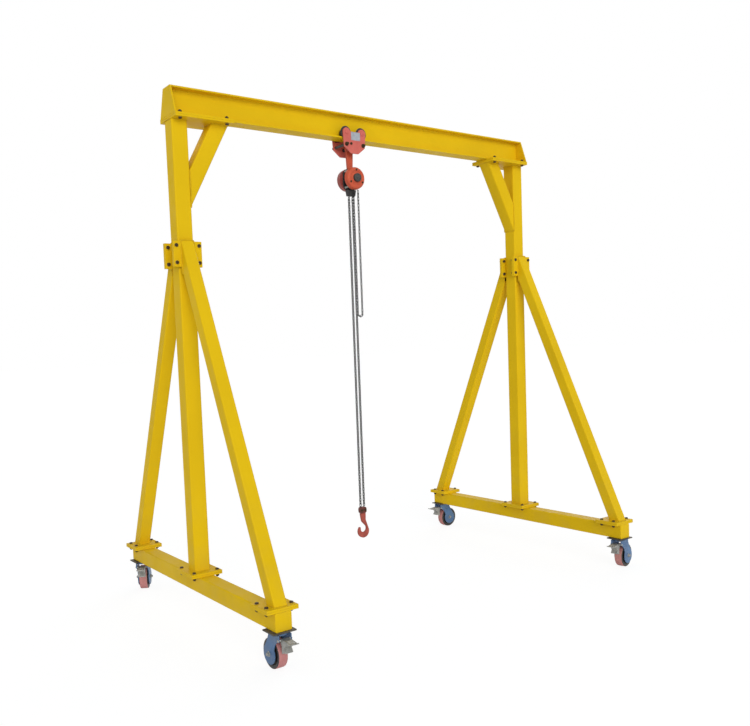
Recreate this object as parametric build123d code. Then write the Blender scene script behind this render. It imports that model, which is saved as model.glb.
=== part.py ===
from build123d import *
import math
import os

# Portable gantry crane on four swivel casters, with a push trolley and a chain hoist.
# Millimetres. X runs along the main beam, Y along the base beams, Z up from the floor.

# Frame tubes and the plates that bolt them together
COLUMN_SPACING = 2850
COLUMN_LENGTH = 2683
COLUMN_TUBE = 100
COLUMN_WALL = 6
BASE_LENGTH = 1976
BASE_TUBE = 100
BASE_WALL = 6
BASE_CAP = 5
LEG_TUBE = 80
LEG_WALL = 5
BRACE_TUBE = 80
BRACE_WALL = 5
TUBE_CORNER = 8
PLATE = 12

# Main beam, its end plates and the plates it is bolted down with
BEAM_HEIGHT = 165
FLANGE_WIDTH = 100
FLANGE = 10
WEB = 8
WEB_ROOT = 8
END_PLATE = 10
END_PLATE_FOOT = 210
MOUNT_LENGTH = 380
MOUNT_WIDTH = 220

# Places on the columns: the collar and leg head up from the foot, the brace down from the top
COLLAR_RISE = 1899
COLLAR_WIDTH = 180
COLLAR_HEIGHT = 150
LEG_HEAD_RISE = 1881
BRACE_DROP = 398
BRACE_REACH = 263

# Plates on the base beams
COLUMN_PLATE_X = 200
COLUMN_PLATE_Y = 220
LEG_PLATE_X = 190
LEG_PLATE_Y = 180
LEG_FOOT_INSET = 61

# Casters
CASTER_HEIGHT = 220
CASTER_PLATE_X = 140
CASTER_PLATE_Y = 115
CASTER_PLATE = 8
CASTER_INSET = 46
RACE_RADIUS = 36
RACE_HEIGHT = 7
TRAIL = 52
WHEEL_RADIUS = 82.5
TREAD_WIDTH = 56
TREAD_THICKNESS = 4
TREAD_ROUND = 2.5
RIM_DEPTH = 9
RIM_LAND = 14
RIM_WIDTH = 54
HUB_RADIUS = 23
AXLE_RADIUS = 8
CHEEK = 6
CHEEK_GAP = 6
CROWN = 9
CROWN_RADIUS = 42
AXLE_BOSS = 56
AXLE_END = 9
PEDAL_WIDTH = 46
PEDAL_SHEET = 6
PEDAL_REACH = 152
PEDAL_SHOE = 110
PEDAL_PIN = 6
RUNNING = 0.3
SIDE_PLAY = 1.0
# Which way each brake pedal points, in degrees from +X
CASTER_TURN = {"front_left": -90, "back_left": -120, "front_right": -170, "back_right": 180}

# Push trolley
TROLLEY_X = -170
TROLLEY_WHEEL_RADIUS = 27
TROLLEY_LIP_RADIUS = 42
TROLLEY_LIP = 3
TROLLEY_LIP_GAP = 5
TROLLEY_WHEEL_SPREAD = 62
TROLLEY_WEB_GAP = 13
TROLLEY_STUB = 11
SIDE_PLATE = 10
SIDE_PLATE_GAP = 1
LOBE_RADIUS = 30
LOBE_DIP = 23
SIDE_PLATE_WAIST = 84
SIDE_PLATE_WAIST_DROP = 94
SIDE_PLATE_FOOT = 60
SIDE_PLATE_DROP = 136
SIDE_PLATE_ROUND = 9
BAR_RADIUS = 12.5
BAR_DROP = 88
SPACER_RADIUS = 9
SPACER_SPREAD = 68
SPACER_DROP = 78

# Chain hoist, from its load line towards the hand wheel in front and the gears behind
HOIST_DROP = 208
EYE_RADIUS = 32
SHANK_HEAD = 54
SHANK_FOOT = 40
SHANK = 22
HOIST_FRONT = 42
HOIST_BACK = 16
HOIST_FRAME_X = 100
HOIST_FRAME_Z = 140
HOIST_CORNER = 36
HAND_COVER_RADIUS = 75
HAND_COVER = 35
GEAR_COVER_RADIUS = 75
GEAR_COVER = 45
COVER_ROUND = 15
HUB_CAP_RADIUS = 28
HUB_CAP = 22
HUB_CAP_ROUND = 5
GUIDE_X = 70
GUIDE_Y = 38
GUIDE_DROP = 41
GUIDE_TAPER = 5

# Chains: bar across the flats, pitch, and half the space between two falls
LOAD_BAR = 6
LOAD_PITCH = 18
LOAD_LINKS = 118
LOAD_FALL = 15
HAND_BAR = 5
HAND_PITCH = 22
HAND_LINKS = 38
LINK_PLAY = 0.4
LINK_SLOT = 1.3

# Bottom block and hook
BLOCK_X = 54
BLOCK_Y = 30
BLOCK_Z = 44
BLOCK_CORNER = 14
HOOK_SHEET = 22
HOOK_ROUND = 3
HOOK_HEAD = 22
HOOK_NECK = 12
HOOK_BACK = 20
HOOK_REACH = 46
HOOK_LENGTH = 173
HOOK_BOWL = 108
HOOK_THROAT = 26
HOOK_BEND = 20
HOOK_TIP = 4

# Levels and places that follow from the sizes above
base_top = CASTER_HEIGHT + BASE_TUBE
foot_level = base_top + 2 * PLATE
column_top = foot_level + COLUMN_LENGTH
beam_bottom = column_top + 2 * PLATE
half_spacing = COLUMN_SPACING / 2
half_base = BASE_LENGTH / 2
column_face = COLUMN_TUBE / 2
beam_end = half_spacing + column_face
caster_out = half_base - CASTER_INSET
SIDES = {"left": -1, "right": 1}
ENDS = {"front": -1, "back": 1}


def block(x_range, y_range, z_range):
    """A box between two corners."""
    sizes = [high - low for low, high in (x_range, y_range, z_range)]
    centre = [(high + low) / 2 for low, high in (x_range, y_range, z_range)]
    return Pos(*centre) * Box(*sizes)


def plate_on(x, y, z, size_x, size_y, thickness):
    """A flat plate centred on x, y whose underside is at z."""
    return Pos(x, y, z + thickness / 2) * Box(size_x, size_y, thickness)


def tube_section(width, wall):
    """A square tube's section with rounded corners."""
    outer = RectangleRounded(width, width, TUBE_CORNER)
    inner_corner = max(TUBE_CORNER - wall, 1)
    return outer - RectangleRounded(width - 2 * wall, width - 2 * wall, inner_corner)


def tube_between(start, end, side, width, wall, spare):
    """A square tube along a line, run on by spare at both ends so that it can be trimmed."""
    run = Vector(*end) - Vector(*start)
    along = run.normalized()
    plane = Plane(origin=Vector(*start) - along * spare, x_dir=side, z_dir=along)
    return extrude(plane * tube_section(width, wall), amount=run.length + 2 * spare)


def cylinder_y(radius, y_range, x, z):
    """A round bar along Y."""
    low, high = y_range
    return Pos(x, (low + high) / 2, z) * Rot(90, 0, 0) * Cylinder(radius, high - low)


def main_beam():
    """The rolled I section between the two end plates."""
    opening = BEAM_HEIGHT - 2 * FLANGE
    depth = FLANGE_WIDTH
    section = Rectangle(FLANGE_WIDTH, BEAM_HEIGHT)
    for side in (-1, 1):
        shift = side * (WEB / 2 + depth / 2)
        section -= Pos(shift, 0) * RectangleRounded(depth, opening, WEB_ROOT)
    start = Plane(origin=(-beam_end + END_PLATE, 0, beam_bottom + BEAM_HEIGHT / 2),
                  x_dir=(0, 1, 0), z_dir=(1, 0, 0))
    return extrude(start * section, amount=2 * (beam_end - END_PLATE))


def beam_end_plates():
    """Tapered plates that close the beam's ends, as wide as the mount plate at the foot."""
    half_top, half_foot = FLANGE_WIDTH / 2, END_PLATE_FOOT / 2
    outline = Polygon((-half_foot, 0), (half_foot, 0), (half_top, BEAM_HEIGHT),
                      (-half_top, BEAM_HEIGHT), align=None)
    plates = []
    for side in (-1, 1):
        inner = min(side * beam_end, side * (beam_end - END_PLATE))
        plane = Plane(origin=(inner, 0, beam_bottom), x_dir=(0, 1, 0), z_dir=(1, 0, 0))
        plates.append(extrude(plane * outline, amount=END_PLATE))
    return plates


def mount_plates(z):
    """The long plates under each end of the beam."""
    centre = beam_end - MOUNT_LENGTH / 2
    return [plate_on(side * centre, 0, z, MOUNT_LENGTH, MOUNT_WIDTH, PLATE) for side in (-1, 1)]


def column(side):
    """An upright tube from its foot plate to its top plate."""
    section = Pos(side * half_spacing, 0, foot_level) * tube_section(COLUMN_TUBE, COLUMN_WALL)
    return extrude(section, amount=COLUMN_LENGTH)


def knee_brace(side):
    """A slanted tube from the column's inner face up to the top plate."""
    foot = (side * (half_spacing - column_face), 0, column_top - BRACE_DROP)
    head = (side * (half_spacing - BRACE_REACH), 0, column_top)
    tube = tube_between(foot, head, (0, 1, 0), BRACE_TUBE, BRACE_WALL, 2 * BRACE_TUBE)
    inner_x = side * (half_spacing - column_face)
    far_x = side * (half_spacing - 3 * BRACE_REACH)
    clear = block(sorted((inner_x, far_x)), (-BRACE_TUBE, BRACE_TUBE), (foot_level, column_top))
    return tube & clear


def collar_plates(first, second):
    """Upright plates on the front and back of each column, between two distances from its axis."""
    middle = foot_level + COLLAR_RISE
    height = (middle - COLLAR_HEIGHT / 2, middle + COLLAR_HEIGHT / 2)
    plates = []
    for side in (-1, 1):
        across = (side * half_spacing - COLLAR_WIDTH / 2, side * half_spacing + COLLAR_WIDTH / 2)
        for end in (-1, 1):
            plates.append(block(across, sorted((end * first, end * second)), height))
    return plates


def leg(side, end):
    """A slanted tube from the collar down to its foot plate."""
    head_face = column_face + 2 * PLATE
    head = (side * half_spacing, end * head_face, foot_level + LEG_HEAD_RISE)
    foot = (side * half_spacing, end * (half_base - LEG_FOOT_INSET), foot_level)
    tube = tube_between(foot, head, (1, 0, 0), LEG_TUBE, LEG_WALL, 3 * LEG_TUBE)
    across = (side * half_spacing - LEG_TUBE, side * half_spacing + LEG_TUBE)
    clear = block(across, sorted((end * head_face, end * BASE_LENGTH)), (foot_level, column_top))
    return tube & clear


def base_beam(side):
    """The tube that carries a column and two legs, open inside and capped at both ends."""
    middle = CASTER_HEIGHT + BASE_TUBE / 2
    plane = Plane(origin=(side * half_spacing, -half_base + BASE_CAP, middle),
                  x_dir=(1, 0, 0), z_dir=(0, 1, 0))
    return extrude(plane * tube_section(BASE_TUBE, BASE_WALL), amount=BASE_LENGTH - 2 * BASE_CAP)


def base_end_caps():
    """Welded caps on the ends of the base beams."""
    middle = CASTER_HEIGHT + BASE_TUBE / 2
    caps = []
    for side in (-1, 1):
        for start in (-half_base, half_base - BASE_CAP):
            plane = Plane(origin=(side * half_spacing, start, middle), x_dir=(1, 0, 0), z_dir=(0, 1, 0))
            caps.append(extrude(plane * RectangleRounded(BASE_TUBE, BASE_TUBE, TUBE_CORNER), amount=BASE_CAP))
    return caps


def foot_plates(z):
    """One layer of the plates under the columns and the legs."""
    plates = []
    for side in (-1, 1):
        x = side * half_spacing
        plates.append(plate_on(x, 0, z, COLUMN_PLATE_X, COLUMN_PLATE_Y, PLATE))
        for end in (-1, 1):
            y = end * (half_base - LEG_PLATE_Y / 2)
            plates.append(plate_on(x, y, z, LEG_PLATE_X, LEG_PLATE_Y, PLATE))
    return plates


def caster_plates():
    """Top plates under the base ends, each with the fixed half of its swivel race."""
    plates = []
    underside = CASTER_HEIGHT - CASTER_PLATE
    for side in (-1, 1):
        for end in (-1, 1):
            x, y = side * half_spacing, end * caster_out
            plate = plate_on(x, y, underside, CASTER_PLATE_X, CASTER_PLATE_Y, CASTER_PLATE)
            race = Pos(x, y, underside - RACE_HEIGHT / 2) * Cylinder(RACE_RADIUS, RACE_HEIGHT)
            plates.append(plate + race)
    return plates


cheek_inside = TREAD_WIDTH / 2 + CHEEK_GAP
cheek_outside = cheek_inside + CHEEK
crown_top = CASTER_HEIGHT - CASTER_PLATE - RACE_HEIGHT - RUNNING
crown_bottom = crown_top - CROWN
pedal_pin_x = CROWN_RADIUS + PEDAL_PIN
pedal_pin_z = crown_bottom - 3 * PEDAL_PIN


def caster_fork():
    """Swivel crown with two pressed cheeks that widen round the axle, pedal side towards +X."""
    crown = Pos(0, 0, crown_bottom + CROWN / 2) * Cylinder(CROWN_RADIUS, CROWN)
    top = Pos(-TRAIL / 2, 0, crown_bottom + CROWN / 2) * Box(TRAIL, 2 * cheek_outside, CROWN)
    nose = CROWN_RADIUS + 2 * PEDAL_PIN
    slant = math.radians(30)
    with BuildSketch(Plane.XZ) as outline:
        with BuildLine():
            front_low = (nose, pedal_pin_z - PEDAL_PIN)
            toe = (-TRAIL + AXLE_BOSS * math.cos(slant), WHEEL_RADIUS + AXLE_BOSS * math.sin(slant))
            heel = (-TRAIL - AXLE_BOSS * math.cos(slant), WHEEL_RADIUS + AXLE_BOSS * math.sin(slant))
            back_low = (-TRAIL, crown_bottom - CROWN)
            Polyline(back_low, (-TRAIL, crown_top), (nose, crown_top), front_low)
            bow = ((front_low[0] + toe[0]) / 2 - CROWN, (front_low[1] + toe[1]) / 2 + CROWN)
            ThreePointArc(front_low, bow, toe)
            ThreePointArc(toe, (-TRAIL, WHEEL_RADIUS - AXLE_BOSS), heel)
            dip = ((heel[0] + back_low[0]) / 2 + CROWN / 2, (heel[1] + back_low[1]) / 2)
            ThreePointArc(heel, dip, back_low)
        make_face()
    cheek = extrude(outline.sketch, amount=CHEEK / 2, both=True)
    fork = crown + top
    for side in (-1, 1):
        fork += Pos(0, side * (cheek_inside + CHEEK / 2), 0) * cheek
    reach = cheek_outside + AXLE_END
    fork += cylinder_y(AXLE_RADIUS, (-reach, reach), -TRAIL, WHEEL_RADIUS)
    return fork


def brake_pedal():
    """Foot lever on a pin between the cheeks: an upper toe lip, a lower release lip and a shoe."""
    x, z = pedal_pin_x, pedal_pin_z
    tip, sheet = PEDAL_REACH, PEDAL_SHEET
    shoe = x + sheet
    with BuildSketch(Plane.XZ) as outline:
        with BuildLine():
            top_lip = [(x - PEDAL_PIN, z + PEDAL_PIN), (x + 6 * sheet, z + sheet), (tip - 3 * sheet, z),
                       (tip, z + sheet), (tip, z), (tip - 3 * sheet, z - sheet), (x + 8 * sheet, z - sheet)]
            low_lip = [(x + 5 * sheet, z - 6 * sheet), (x + 7 * sheet, z - 9 * sheet),
                       (x + 7 * sheet, z - 10 * sheet), (x + 4 * sheet, z - 9 * sheet)]
            heel = [(shoe + sheet, PEDAL_SHOE), (shoe, PEDAL_SHOE), (shoe, z - 5 * sheet)]
            Polyline(*top_lip, *low_lip, *heel, (x - PEDAL_PIN, z - PEDAL_PIN), close=True)
        make_face()
    pin_end = cheek_inside - RUNNING
    pedal = extrude(outline.sketch, amount=PEDAL_WIDTH / 2, both=True)
    return pedal + cylinder_y(PEDAL_PIN, (-pin_end, pin_end), x, z)


def wheel_core():
    """Cast wheel centre with dished sides, turned on its axle."""
    bore = AXLE_RADIUS + RUNNING / 2
    rim = WHEEL_RADIUS - TREAD_THICKNESS
    half_rim = RIM_WIDTH / 2
    half_hub = cheek_inside - SIDE_PLAY
    half_web = half_rim - RIM_DEPTH
    section = Polygon((bore, -half_hub), (HUB_RADIUS, -half_hub), (HUB_RADIUS, -half_web),
                      (rim - RIM_LAND, -half_web), (rim - RIM_LAND, -half_rim), (rim, -half_rim),
                      (rim, half_rim), (rim - RIM_LAND, half_rim), (rim - RIM_LAND, half_web),
                      (HUB_RADIUS, half_web), (HUB_RADIUS, half_hub), (bore, half_hub), align=None)
    return place_wheel(section)


def wheel_tread():
    """Moulded tread round the wheel centre."""
    low = WHEEL_RADIUS - TREAD_THICKNESS + RUNNING / 3
    half = TREAD_WIDTH / 2
    round_in = TREAD_ROUND / 2
    section = Polygon((low, -half), (WHEEL_RADIUS - TREAD_ROUND, -half), (WHEEL_RADIUS, -half + round_in),
                      (WHEEL_RADIUS, half - round_in), (WHEEL_RADIUS - TREAD_ROUND, half), (low, half),
                      align=None)
    return place_wheel(section)


def place_wheel(section):
    """Turn a half section about the caster's axle."""
    plane = Plane(origin=(-TRAIL, 0, WHEEL_RADIUS), x_dir=(1, 0, 0), z_dir=(0, 0, 1))
    axle = Axis((-TRAIL, 0, WHEEL_RADIUS), (0, 1, 0))
    return revolve(plane * section, axle, 360)


axle_z = beam_bottom + FLANGE + TROLLEY_WHEEL_RADIUS + RUNNING
lip_in = FLANGE_WIDTH / 2 + TROLLEY_LIP_GAP
lip_out = lip_in + TROLLEY_LIP
plate_in = lip_out + SIDE_PLATE_GAP
plate_out = plate_in + SIDE_PLATE
bar_z = axle_z - BAR_DROP


def trolley_side_plate(end):
    """Side plate with a lobe round each wheel axle, a waist and a tapered foot round the load bar."""
    half_foot = SIDE_PLATE_FOOT / 2
    half_top = TROLLEY_WHEEL_SPREAD + LOBE_RADIUS
    web = Polygon((-half_top, 0), (half_top, 0), (SIDE_PLATE_WAIST, -SIDE_PLATE_WAIST_DROP),
                  (half_foot, -SIDE_PLATE_DROP), (-half_foot, -SIDE_PLATE_DROP),
                  (-SIDE_PLATE_WAIST, -SIDE_PLATE_WAIST_DROP), align=None)
    corners = web.vertices().sort_by(Axis.Y)[:4]
    outline = fillet(corners, SIDE_PLATE_ROUND)
    rise = LOBE_RADIUS - LOBE_DIP
    outline += Pos(0, rise / 2) * Rectangle(2 * TROLLEY_WHEEL_SPREAD, rise)
    for side in (-1, 1):
        outline += Pos(side * TROLLEY_WHEEL_SPREAD, 0) * Circle(LOBE_RADIUS)
    plane = Plane(origin=(TROLLEY_X, end * (plate_in + plate_out) / 2, axle_z), x_dir=(1, 0, 0), z_dir=(0, -1, 0))
    return extrude(plane * outline, amount=SIDE_PLATE / 2, both=True)


def trolley_wheels():
    """Four wheels on the lower flange, each with a guide lip outside it and a stub to the side plate."""
    wheels = []
    inner = WEB / 2 + TROLLEY_WEB_GAP
    for side in (-1, 1):
        for end in (-1, 1):
            x = TROLLEY_X + side * TROLLEY_WHEEL_SPREAD
            wheel = cylinder_y(TROLLEY_WHEEL_RADIUS, sorted((end * inner, end * lip_in)), x, axle_z)
            wheel += cylinder_y(TROLLEY_LIP_RADIUS, sorted((end * lip_in, end * lip_out)), x, axle_z)
            wheels.append(wheel + cylinder_y(TROLLEY_STUB, sorted((end * lip_out, end * plate_in)), x, axle_z))
    return wheels


def trolley_bars():
    """The load bar and two spacer bars between the side plates."""
    bars = [cylinder_y(BAR_RADIUS, (-plate_in, plate_in), TROLLEY_X, bar_z)]
    for side in (-1, 1):
        x = TROLLEY_X + side * SPACER_SPREAD
        bars.append(cylinder_y(SPACER_RADIUS, (-plate_in, plate_in), x, axle_z - SPACER_DROP))
    return bars


hoist_z = bar_z - HOIST_DROP
guide_bottom = hoist_z - HOIST_FRAME_Z / 2 - GUIDE_DROP
block_top = guide_bottom - 2 * RUNNING - LOAD_LINKS * LOAD_PITCH - LINK_PLAY - 2 * LOAD_BAR
block_bottom = block_top - BLOCK_Z


def hoist_eye():
    """Top eye of the hoist: a ring on the trolley's bar and a tapered shank down to the frame."""
    drop = HOIST_DROP - HOIST_FRAME_Z / 2
    shank = Polygon((-SHANK_HEAD / 2, 0), (SHANK_HEAD / 2, 0), (SHANK_FOOT / 2, -drop),
                    (-SHANK_FOOT / 2, -drop), align=None)
    outline = Circle(EYE_RADIUS) + shank - Circle(BAR_RADIUS + RUNNING)
    plane = Plane(origin=(TROLLEY_X, 0, bar_z), x_dir=(1, 0, 0), z_dir=(0, -1, 0))
    return extrude(plane * outline, amount=SHANK / 2, both=True)


def hoist_frame():
    """Dark frame of the hoist between its two covers."""
    plane = Plane(origin=(TROLLEY_X, HOIST_BACK, hoist_z), x_dir=(1, 0, 0), z_dir=(0, -1, 0))
    outline = RectangleRounded(HOIST_FRAME_X, HOIST_FRAME_Z, HOIST_CORNER)
    return extrude(plane * outline, amount=HOIST_FRONT + HOIST_BACK)


def round_cover(radius, depth, start, end, rounding):
    """A round cover on the hoist with its outer edge rounded, standing out towards end."""
    low, high = sorted((end * start, end * (start + depth)))
    cover = cylinder_y(radius, (low, high), TROLLEY_X, hoist_z)
    rim = cover.edges().filter_by(GeomType.CIRCLE).sort_by(Axis.Y)[0 if end < 0 else -1]
    return fillet(rim, rounding)


def chain_guide():
    """Tapered chain guide under the hoist frame."""
    top = hoist_z - HOIST_FRAME_Z / 2
    y = HOIST_BACK - GUIDE_Y / 2
    upper = Pos(TROLLEY_X, y, top) * RectangleRounded(GUIDE_X, GUIDE_Y, GUIDE_TAPER)
    lower = Pos(TROLLEY_X, y, guide_bottom) * RectangleRounded(
        GUIDE_X - 2 * GUIDE_TAPER, GUIDE_Y - 2 * GUIDE_TAPER, GUIDE_TAPER)
    return loft([upper, lower])


def chain_link(bar, pitch):
    """One link lying in the XZ plane, long along Z."""
    slot_x, slot_z = bar * LINK_SLOT, pitch + LINK_PLAY
    outline = Rectangle(slot_x + 2 * bar, slot_z + 2 * bar) - Rectangle(slot_x, slot_z)
    return extrude(Plane.XZ * outline, amount=bar / 2, both=True)


def link_along(link, start, end, turned):
    """Lay a link on the line between two hinge points in an XZ plane, every other one turned."""
    run = Vector(*end) - Vector(*start)
    centre = (Vector(*start) + Vector(*end)) * 0.5
    tilt = math.degrees(math.atan2(run.X, run.Z))
    return Pos(centre) * Rot(0, tilt, 0) * Rot(0, 0, 90 if turned else 0) * link


def load_chain():
    """Two falls of load chain from the guide to the bottom block."""
    link = chain_link(LOAD_BAR, LOAD_PITCH)
    top = guide_bottom - RUNNING - LOAD_BAR - LINK_PLAY / 2
    links = []
    for side in (-1, 1):
        x = TROLLEY_X + side * LOAD_FALL
        for index in range(LOAD_LINKS):
            start = (x, 0, top - index * LOAD_PITCH)
            end = (x, 0, top - (index + 1) * LOAD_PITCH)
            links.append(link_along(link, start, end, index % 2 == 0))
    return links


def hand_chain():
    """Endless hand chain that hangs from the hand wheel under the front cover."""
    link = chain_link(HAND_BAR, HAND_PITCH)
    y = -(HOIST_FRONT + HAND_COVER / 2)
    half = HAND_PITCH * math.cos(math.radians(30))
    near_side = half - HAND_BAR * (1 + LINK_SLOT / 2)
    cover_low = hoist_z - math.sqrt(HAND_COVER_RADIUS ** 2 - near_side ** 2)
    top = cover_low - RUNNING - HAND_BAR - LINK_PLAY / 2
    low = top - HAND_LINKS * HAND_PITCH
    left = [(TROLLEY_X - half, y, top - index * HAND_PITCH) for index in range(HAND_LINKS + 1)]
    bottom = [(TROLLEY_X, y, low - HAND_PITCH / 2)]
    right = [(TROLLEY_X + half, y, top - index * HAND_PITCH) for index in range(HAND_LINKS, -1, -1)]
    hinges = left + bottom + right
    pairs = zip(hinges[:-1], hinges[1:])
    return [link_along(link, start, end, index % 2 == 0) for index, (start, end) in enumerate(pairs)]


def hook_block():
    """Bottom block that carries the hook on two falls of chain."""
    plane = Plane(origin=(TROLLEY_X, 0, block_bottom + BLOCK_Z / 2), x_dir=(1, 0, 0), z_dir=(0, -1, 0))
    return extrude(plane * RectangleRounded(BLOCK_X, BLOCK_Z, BLOCK_CORNER), amount=BLOCK_Y / 2, both=True)


hook_top = block_bottom - RUNNING


def on_circle(radius, height, degrees):
    """A point on a circle about the hook's axis, at an angle from +X."""
    angle = math.radians(degrees)
    return (radius * math.cos(angle), height + radius * math.sin(angle))


def load_hook():
    """Forged hook, open towards -X: a round throat set high in a larger round bowl, edges rounded."""
    bowl, lower = -HOOK_BOWL, HOOK_REACH - HOOK_LENGTH
    back_lean, throat_lean = 20, 45
    out_side, out_tip = on_circle(HOOK_REACH, lower, back_lean), on_circle(HOOK_REACH, lower, 135)
    in_side, in_tip = on_circle(HOOK_THROAT, bowl, throat_lean), on_circle(HOOK_THROAT, bowl, 150)
    neck_right = (HOOK_BACK, out_side[1] + (out_side[0] - HOOK_BACK) / math.tan(math.radians(back_lean)))
    neck_left = (-HOOK_NECK, in_side[1] + (in_side[0] + HOOK_NECK) / math.tan(math.radians(throat_lean)))
    with BuildSketch() as outline:
        with BuildLine():
            Polyline(in_side, neck_left, (-HOOK_HEAD, 0), (HOOK_HEAD, 0), neck_right, out_side)
            ThreePointArc(out_side, (0, -HOOK_LENGTH), out_tip)
            Line(out_tip, in_tip)
            ThreePointArc(in_tip, (0, bowl - HOOK_THROAT), in_side)
        make_face()
        for corner, rounding in ((neck_left, HOOK_BEND), (neck_right, HOOK_BEND), (out_tip, HOOK_TIP), (in_tip, HOOK_TIP)):
            fillet(outline.vertices().sort_by_distance((*corner, 0))[0], rounding)
    plane = Plane(origin=(TROLLEY_X, 0, hook_top), x_dir=(1, 0, 0), z_dir=(0, -1, 0))
    hook = extrude(plane * outline.sketch, amount=HOOK_SHEET / 2, both=True)
    rims = hook.edges().group_by(Axis.Y)
    below_head = [edge for edge in rims[0] + rims[-1] if edge.center().Z < hook_top - HOOK_ROUND]
    return fillet(below_head, HOOK_ROUND)


nodes = {
    "main_beam": main_beam(),
    "beam_end_plates": beam_end_plates(),
    "beam_mount_plates": mount_plates(column_top + PLATE),
    "column_top_plates": mount_plates(column_top),
    "collar_plates": collar_plates(column_face, column_face + PLATE),
    "leg_head_plates": collar_plates(column_face + PLATE, column_face + 2 * PLATE),
    "base_end_caps": base_end_caps(),
    "base_plates": foot_plates(base_top),
    "foot_plates": foot_plates(base_top + PLATE),
    "caster_plates": caster_plates(),
}
for side_name, side in SIDES.items():
    nodes[f"{side_name}_column"] = column(side)
    nodes[f"{side_name}_knee_brace"] = knee_brace(side)
    nodes[f"{side_name}_base_beam"] = base_beam(side)
    for end_name, end in ENDS.items():
        corner = f"{end_name}_{side_name}"
        nodes[f"{corner}_leg"] = leg(side, end)
        place = Pos(side * half_spacing, end * caster_out, 0) * Rot(0, 0, CASTER_TURN[corner])
        nodes[f"{corner}_fork"] = place * caster_fork()
        nodes[f"{corner}_brake_pedal"] = place * brake_pedal()
        nodes[f"{corner}_wheel_core"] = place * wheel_core()
        nodes[f"{corner}_tread"] = place * wheel_tread()
for end_name, end in ENDS.items():
    nodes[f"trolley_{end_name}_plate"] = trolley_side_plate(end)
nodes.update({
    "trolley_wheels": trolley_wheels(),
    "trolley_bars": trolley_bars(),
    "hoist_eye": hoist_eye(),
    "hoist_frame": hoist_frame(),
    "hand_wheel_cover": round_cover(HAND_COVER_RADIUS, HAND_COVER, HOIST_FRONT, -1, COVER_ROUND),
    "gear_cover": round_cover(GEAR_COVER_RADIUS, GEAR_COVER, HOIST_BACK, 1, COVER_ROUND),
    "hub_cap": round_cover(HUB_CAP_RADIUS, HUB_CAP, HOIST_FRONT + HAND_COVER, -1, HUB_CAP_ROUND),
    "chain_guide": chain_guide(),
    "load_chain": load_chain(),
    "hand_chain": hand_chain(),
    "hook_block": hook_block(),
    "load_hook": load_hook(),
})

os.makedirs("parts", exist_ok=True)
for name, shape in nodes.items():
    solids = shape if isinstance(shape, list) else [shape]
    export_step(Compound(children=solids) if len(solids) > 1 else solids[0], f"parts/{name}.step")
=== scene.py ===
import math

import bmesh
import bpy
from mathutils import Matrix, Vector


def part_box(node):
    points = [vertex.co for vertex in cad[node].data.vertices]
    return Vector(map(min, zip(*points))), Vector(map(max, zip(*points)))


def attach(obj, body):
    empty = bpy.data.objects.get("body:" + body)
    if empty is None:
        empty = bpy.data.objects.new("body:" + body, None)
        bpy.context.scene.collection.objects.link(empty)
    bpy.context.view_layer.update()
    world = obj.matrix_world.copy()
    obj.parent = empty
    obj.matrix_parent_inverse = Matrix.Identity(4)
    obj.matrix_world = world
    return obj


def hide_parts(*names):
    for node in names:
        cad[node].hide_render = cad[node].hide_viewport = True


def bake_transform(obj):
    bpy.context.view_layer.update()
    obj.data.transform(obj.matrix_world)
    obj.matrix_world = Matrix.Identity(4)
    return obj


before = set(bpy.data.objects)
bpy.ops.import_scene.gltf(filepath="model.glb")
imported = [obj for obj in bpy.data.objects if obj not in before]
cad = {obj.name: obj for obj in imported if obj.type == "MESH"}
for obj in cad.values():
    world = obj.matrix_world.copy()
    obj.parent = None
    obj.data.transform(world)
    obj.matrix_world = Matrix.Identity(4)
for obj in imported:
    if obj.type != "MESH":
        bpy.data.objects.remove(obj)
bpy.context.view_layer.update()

# Studio floor and sky. A wide white sheet under even daylight, as for a catalogue picture:
# both count as white to the eye, and the sheet keeps the faint shadow of the crane.
DAYLIGHT, PURE_WHITE, SHEET_WHITE = (0.93, 0.97, 1.0, 1), (1, 1, 1, 1), (0.90, 0.90, 0.90, 1)
SKY_LIGHT, SKY_WHITE = 0.52, 1.0
FLOOR_SIZE = 240.0
FLOOR_SHADOW_SHARE, FLOOR_WHITE = 0.20, 1.10


def add_node(tree, kind, inputs=None, **settings):
    """Add a shader node, set its options, and fill or link its sockets."""
    made = tree.nodes.new("ShaderNode" + kind)
    for key, value in settings.items():
        setattr(made, key, value)
    for key, value in (inputs or {}).items():
        if isinstance(value, bpy.types.NodeSocket):
            tree.links.new(value, made.inputs[key])
        else:
            made.inputs[key].default_value = value
    return made


def seen_directly(tree):
    """One for rays from the eye or off a shiny surface, zero for the light that falls on the crane."""
    path = add_node(tree, "LightPath").outputs
    eye = add_node(tree, "Math", {0: path["Is Camera Ray"], 1: path["Is Glossy Ray"]}, operation="MAXIMUM")
    return add_node(tree, "Math", {0: eye.outputs[0], 1: path["Is Transmission Ray"]},
                    operation="MAXIMUM").outputs[0]


scene = bpy.context.scene
scene.view_settings.view_transform = "Standard"
sky = bpy.data.worlds.new("studio_sky")
sky.use_nodes = True
scene.world = sky
tree = sky.node_tree
tree.nodes.clear()
daylight = add_node(tree, "Background", {"Color": DAYLIGHT, "Strength": SKY_LIGHT})
white = add_node(tree, "Background", {"Color": PURE_WHITE, "Strength": SKY_WHITE})
both = add_node(tree, "MixShader", {0: seen_directly(tree), 1: daylight.outputs[0], 2: white.outputs[0]})
add_node(tree, "OutputWorld", {"Surface": both.outputs[0]})

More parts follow.
